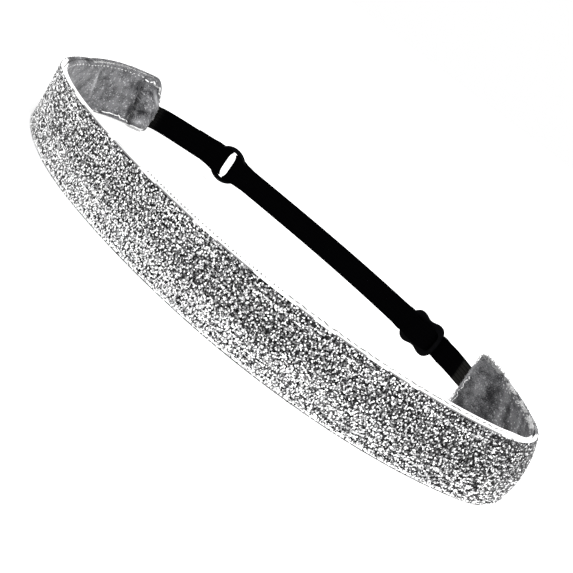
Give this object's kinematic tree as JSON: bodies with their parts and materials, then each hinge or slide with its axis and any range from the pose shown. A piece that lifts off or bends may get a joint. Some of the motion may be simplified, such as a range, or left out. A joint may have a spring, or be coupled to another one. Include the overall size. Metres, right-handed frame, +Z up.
{
  "type": "sport headband",
  "caption": "Adjustable sport headband: a glitter ribbon lined with grey velvet, closed behind by a narrow black elastic strap with a ring and a slider.",
  "frame": {"origin": "on the floor under the middle of the loop's box, at the height of the ribbon's lower edge", "axes": "+Z up the width of the band, -Y towards the front of the band, +X along the loop's long way, towards the slider's side"},
  "size_m": [0.226, 0.1252, 0.0254],
  "materials": {
    "glitter_ribbon": "silver glitter on a white woven ribbon",
    "velvet": "short grey pile, matt with a soft sheen",
    "elastic": "black ribbed elastic webbing, matt",
    "hardware": "black moulded nylon, satin"
  },
  "bodies": {
    "root": {"glitter_ribbon": "glitter_ribbon", "velvet_lining": "velvet", "left_end_flap": "velvet", "right_end_flap": "velvet", "strap_short": "elastic", "strap_long": "elastic", "adjuster_ring": "hardware", "adjuster_slider": "hardware"}
  },
  "joints": []
}
